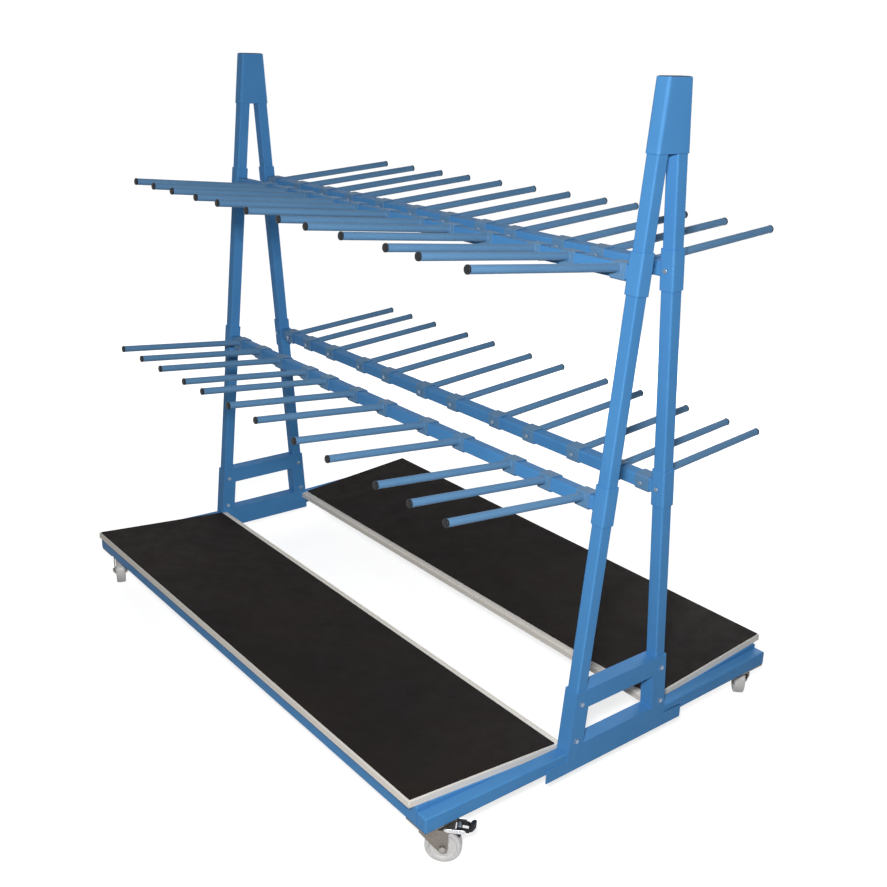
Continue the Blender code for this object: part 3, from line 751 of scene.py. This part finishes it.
def arm_cap_mesh(reach):
    """The black cap pushed over an arm's tip."""
    shape = new_shape()
    inside, outside = ARM_RADIUS + 0.05 * MM, ARM_RADIUS + 0.7 * MM
    profile = [
        (0, reach - 2.3 * MM), (inside, reach - 2.3 * MM), (inside, reach - TIP_LONG),
        (outside - 0.3 * MM, reach - TIP_LONG), (outside, reach - TIP_LONG + 0.4 * MM),
        (outside, reach - 2.2 * MM), (outside - 0.6 * MM, reach - 0.9 * MM), (outside - 2.2 * MM, reach),
        (outside - 5 * MM, reach + 0.5 * MM), (0, reach + 0.7 * MM),
    ]
    lathe(shape, profile, 36, middle=(0, ARM_RAISE))
    return mesh_of(shape, "arm_cap")


def screw_mesh():
    """The set screw on the inner face of a sleeve: a hexagon head on a short thread."""
    shape = new_shape()
    lathe(shape, [(0, 0), (4 * MM, 0), (4 * MM, -1.8 * MM), (0, -1.8 * MM)], 20)
    hexagon(shape, HEAD, -1.6 * MM, -6.8 * MM)
    return mesh_of(shape, "screw", math.radians(30))


rail_shapes = {"front": rail_mesh(1), "rear": rail_mesh(-1)}  # a front rail is turned about Z
screw = screw_mesh()
arm_shapes = {level: arm_mesh(reach) for level, reach in ARM_REACH.items()}
tip_shapes = {level: arm_cap_mesh(reach) for level, reach in ARM_REACH.items()}
inner_face = Matrix.Translation((0, -SLEEVE / 2, 0))
for row, settings in SETTINGS_MM.items():
    level, side = row.split("_")
    turn = SIDES[side]
    z = RAIL_HEIGHT[level]
    centre = Vector((0, math.cos(turn) * leg_y(z), z))
    place = leaning(centre, turn)
    show(f"{row}_tube", rail_shapes[side], [blue], "cart", "blue_paint", place, f"{row}_rail")
    for end, along in ENDS.items():
        spot = leaning(centre + Vector((along * LEG_X, 0, 0)), turn) @ inner_face
        show(f"{row}_{end}_screw", screw, [dull], "cart", "zinc_steel", spot)
    for i, set_mm in enumerate(settings):
        x = -LAST_ARM + i * 2 * LAST_ARM / (ARM_COUNT - 1) + set_mm * MM
        place = leaning(centre + Vector((x, 0, 0)), turn)
        node = f"{row}_arm_{i + 1}"
        body = node if i % 2 else "cart"
        name = f"{row}_rod_{i + 1}"
        show(name, arm_shapes[level], [shaded_arm_blue], body, "blue_paint", place, *([node] if i % 2 else []))
        show(f"{name}_tip", tip_shapes[level], [black], body, "black_plastic", place)
        show(f"{name}_screw", screw, [dull], body, "zinc_steel", place @ inner_face)

# Casters


def wheel_mesh():
    """A moulded wheel about its axle: a hub, a dished web, a rim and a slightly crowned tread."""
    shape = new_shape()
    half = [
        (5.4, 20.2), (12.5, 20.2), (13.6, 19.8), (14, 18.8), (14.4, 12.5), (15.6, 11.3), (17.5, 11),
        (33.5, 10.6), (35.6, 11), (36.6, 12.2), (37.2, 15.8), (38, 16.7), (39.4, 17), (45.2, 17),
        (47.4, 16.3), (48.9, 14.6), (49.5, 12), (49.9, 6),
    ]
    profile = [(r * MM, y * MM) for r, y in half]
    profile += [(50 * MM, 0)] + [(r, -y) for r, y in reversed(profile)]
    lathe(shape, profile, 72)
    return mesh_of(shape, "wheel", math.radians(50))


def plate_bolts_mesh():
    """Four bolt heads under a caster's plate."""
    shape = new_shape()
    washer, head = PLATE_LOW - 1.2 * MM, PLATE_LOW - 5.7 * MM
    disc = [(0, PLATE_LOW), (8 * MM, PLATE_LOW), (8 * MM, washer), (0, washer)]
    for a in (PLATE_BOLT_X, -PLATE_BOLT_X):
        for b in (PLATE_BOLT_Y, -PLATE_BOLT_Y):
            lathe(shape, disc, 24, "z", (a, b))
            hexagon(shape, HEAD, washer, head, "z", (a, b))
    return mesh_of(shape, "plate_bolts", math.radians(30))


def slab(shape, outline, low, high, ease, slot=0):
    """A plate cut to an outline of (x, z) points in mm, between two places across it, with eased edges."""
    count = len(outline)
    rings = []
    for y, inset in ((low, ease), (low + ease, 0), (high - ease, 0), (high, ease)):
        ring = []
        for k, (x, z) in enumerate(outline):
            before, after = Vector(outline[k - 1]), Vector(outline[(k + 1) % count])
            ahead = (after - before).normalized()
            ring.append((Vector(((x + ahead.y * -inset) * MM, y * MM, (z + ahead.x * inset) * MM)), 0.0))
        rings.append(ring)
    skin(shape, rings, slot=slot)


def brake_mesh():
    """The brake about its pin: two black cheeks with a shoe below, a black pad in front of them and
    a bright roller between them."""
    shape = new_shape()
    half = 12.4 * MM
    lathe(shape, [
        (3.4 * MM, -half), (5.6 * MM, -half), (6.2 * MM, -half + 0.6 * MM), (6.2 * MM, half - 0.6 * MM),
        (5.6 * MM, half), (3.4 * MM, half),
    ], 32, slot=1)
    cheek = [
        (27, -6.6), (9, -4.5), (7, -9), (5.5, -17.8), (3, -20.8), (-1, -20.3), (-3.5, -15), (-5.5, -4),
        (-5.6, 3), (-2.5, 6), (2, 6.4), (18, 5.5), (26, 4.5), (29.5, -1),
    ]
    for low, high in ((-16.2, -12.6), (12.6, 16.2)):
        slab(shape, cheek, low, high, 0.8)
    shoe = [
        (8.6, -6.2), (6.8, -9), (5.3, -17.6), (2.9, -20.5), (-0.9, -20), (-3.2, -15), (-2.4, -8.5), (3, -7),
    ]
    slab(shape, shoe, -13, 13, 0.6)
    pad = [
        (25, -7.5), (26, 1), (29, 6.5), (32, 11), (35, 14.6), (38.5, 16.8), (42, 17.4), (44.6, 16.2),
        (46, 13.6), (45.8, 10.6), (44, 6.5), (41, 1), (38, -3.4), (35.4, -6.2), (32.5, -7.6), (29, -8.2),
    ]
    slab(shape, [(x, z) for x, z in reversed(pad)], -13, 13, 2.2)
    return mesh_of(shape, "brake", math.radians(40))


def strap_mesh():
    """The bright straps on the ears of a braked fork, with the riveted ends of the brake's pin."""
    shape = new_shape()
    ear, thick = 23.6, 1.2
    outline = [
        (94.5, 105.2), (92, 103.9), (60, 104.2), (47, 105), (40.5, 107.6), (38.6, 111), (41, 113.6),
        (50, 114.1), (90, 114.1), (94, 112.4), (95.6, 109),
    ]
    for side in (1, -1):
        low, high = sorted((side * ear, side * (ear + thick)))
        slab(shape, outline, low, high, 0.3)
        lathe(shape, [
            (0, side * (ear + thick) * MM), (4.6 * MM, side * (ear + thick) * MM),
            (4.2 * MM, side * (ear + thick + 1.2) * MM), (2.6 * MM, side * (ear + thick + 2) * MM),
            (0, side * (ear + thick + 2.2) * MM),
        ], 24, middle=(PIN_X, PIN_Z))
    return mesh_of(shape, "strap", math.radians(35))


wheels, plate_bolts, brakes, straps = wheel_mesh(), plate_bolts_mesh(), brake_mesh(), strap_mesh()
for corner, degrees in CASTER_TURN.items():
    end, side = corner.split("_")
    under = Matrix.Translation((ENDS[end] * CASTER_X, math.cos(SIDES[side]) * CASTER_Y, 0))
    swung = under @ Matrix.Rotation(math.radians(degrees), 4, "Z")
    hub = swung @ Matrix.Translation((TRAIL, 0, WHEEL_RADIUS))
    show(f"{corner}_roller", wheels, [nylon], f"{corner}_wheel", "nylon", hub, f"{corner}_wheel")
    show(f"{corner}_plate_bolts", plate_bolts, [bright], "cart", "zinc_steel", under)
    dressed(f"{corner}_plate", dark_reflection_zinc, 0.6 * MM)
    dressed(f"{corner}_fork", dark_reflection_zinc, 0.7 * MM)
    dressed(f"{corner}_axle", worn_zinc, 0.6 * MM)
    if corner in BRAKED:
        show(f"{corner}_straps", straps, [bright], f"{corner}_caster", "zinc_steel", swung)
        pin = swung @ Matrix.Translation((PIN_X, 0, PIN_Z))
        brake = f"{corner}_brake"
        show(f"{corner}_lever", brakes, [black, bright], brake, "black_plastic", pin, brake)

# Stage, light and camera

CAMERA_AT = Vector((2855.7, -2166.9, 2040.1)) * MM
AZIMUTH, ELEVATION, ROLL = (math.radians(a) for a in (50.83, 19.93, 1.86))
FOCAL_PIXELS, IMAGE_PIXELS, SENSOR = 1101.8, 887, 36.0

world = bpy.data.worlds.new("studio")
bpy.context.scene.world = world
world.use_nodes = True
FILL = 0.05  # the light that comes from all round
FLOOR_GLOW = 0.74  # of the floor under the cart; further out it is white
GLOW_NEAR, GLOW_FAR = 0.6, 3.6  # from the middle, where the glow starts to rise and where it is white
FLOOR_PALE, FLOOR_GREY = (0.6, 0.6, 0.6, 1), (0.28, 0.28, 0.28, 1)  # as seen, and as it lights the cart
FLOOR_HALF = 30.0


def seen_share(tree):
    """1 for rays that show the background: from the camera, in reflections and through glass."""
    rays = add(tree, "ShaderNodeLightPath").outputs
    share = rays["Is Camera Ray"]
    for other in ("Is Glossy Ray", "Is Transmission Ray"):
        share = add(tree, "ShaderNodeMath", {0: share, 1: rays[other]}, operation="MAXIMUM").outputs[0]
    return share


tree = world.node_tree
tree.nodes.clear()
fill = add(tree, "ShaderNodeBackground", {"Color": (1, 1, 1, 1), "Strength": FILL})
white = add(tree, "ShaderNodeBackground", {"Color": (1, 1, 1, 1), "Strength": 1.0})
chosen = add(tree, "ShaderNodeMixShader", {0: seen_share(tree), 1: fill.outputs[0], 2: white.outputs[0]})
add(tree, "ShaderNodeOutputWorld", {"Surface": chosen.outputs[0]})

floor_material = bpy.data.materials.new("floor")
floor_material.use_nodes = True
tree = floor_material.node_tree
tree.nodes.clear()
pale = add(tree, "ShaderNodeBsdfDiffuse", {"Color": FLOOR_PALE})
away = add(tree, "ShaderNodeVectorMath", {0: object_place(tree)}, operation="LENGTH").outputs["Value"]
glow = add(tree, "ShaderNodeEmission", {
    "Color": (1, 1, 1, 1), "Strength": spread(tree, away, GLOW_NEAR, GLOW_FAR, FLOOR_GLOW, 1.0),
})
lit = add(tree, "ShaderNodeAddShader", {0: pale.outputs[0], 1: glow.outputs[0]})
grey = add(tree, "ShaderNodeBsdfDiffuse", {"Color": FLOOR_GREY})
chosen = add(tree, "ShaderNodeMixShader", {0: seen_share(tree), 1: grey.outputs[0], 2: lit.outputs[0]})
add(tree, "ShaderNodeOutputMaterial", {"Surface": chosen.outputs[0]})

shape = bmesh.new()
bmesh.ops.create_grid(shape, x_segments=1, y_segments=1, size=FLOOR_HALF)
floor_mesh = bpy.data.meshes.new("floor")
shape.to_mesh(floor_mesh)
shape.free()
floor_mesh.materials.append(floor_material)
floor = bpy.data.objects.new("floor", floor_mesh)
bpy.context.scene.collection.objects.link(floor)


def lamp(name, place, target, size, watts):
    data = bpy.data.lights.new(name, "AREA")
    data.shape = "DISK"
    data.size = size
    data.energy = watts
    made = bpy.data.objects.new(name, data)
    bpy.context.scene.collection.objects.link(made)
    made.location = place
    made.rotation_euler = (Vector(target) - Vector(place)).to_track_quat("-Z", "Y").to_euler()
    return made


lamp("key", CAMERA_AT + Vector((-0.08, -0.12, 0.35)), (0, 0, 0.9), 0.4, 122)
lamp("back", (-1.1, 4.6, 1.3), (0, 0, 1.0), 2.4, 130)
lamp("side", (-4.6, 0.0, 2.8), (0, 0, 1.0), 2.4, 26)

camera = bpy.data.objects.new("camera", bpy.data.cameras.new("camera"))
bpy.context.scene.collection.objects.link(camera)
back = Vector((
    math.sin(AZIMUTH) * math.cos(ELEVATION), -math.cos(AZIMUTH) * math.cos(ELEVATION), math.sin(ELEVATION),
))
right = Vector((math.cos(AZIMUTH), math.sin(AZIMUTH), 0))
up = back.cross(right)
across = math.cos(ROLL) * right + math.sin(ROLL) * up
upward = math.cos(ROLL) * up - math.sin(ROLL) * right
camera.matrix_world = Matrix.Translation(CAMERA_AT) @ Matrix((across, upward, back)).transposed().to_4x4()
camera.data.sensor_width = SENSOR
camera.data.lens = FOCAL_PIXELS * SENSOR / IMAGE_PIXELS
camera.data.clip_end = 100
bpy.context.scene.camera = camera
bpy.context.scene.view_settings.view_transform = "Standard"
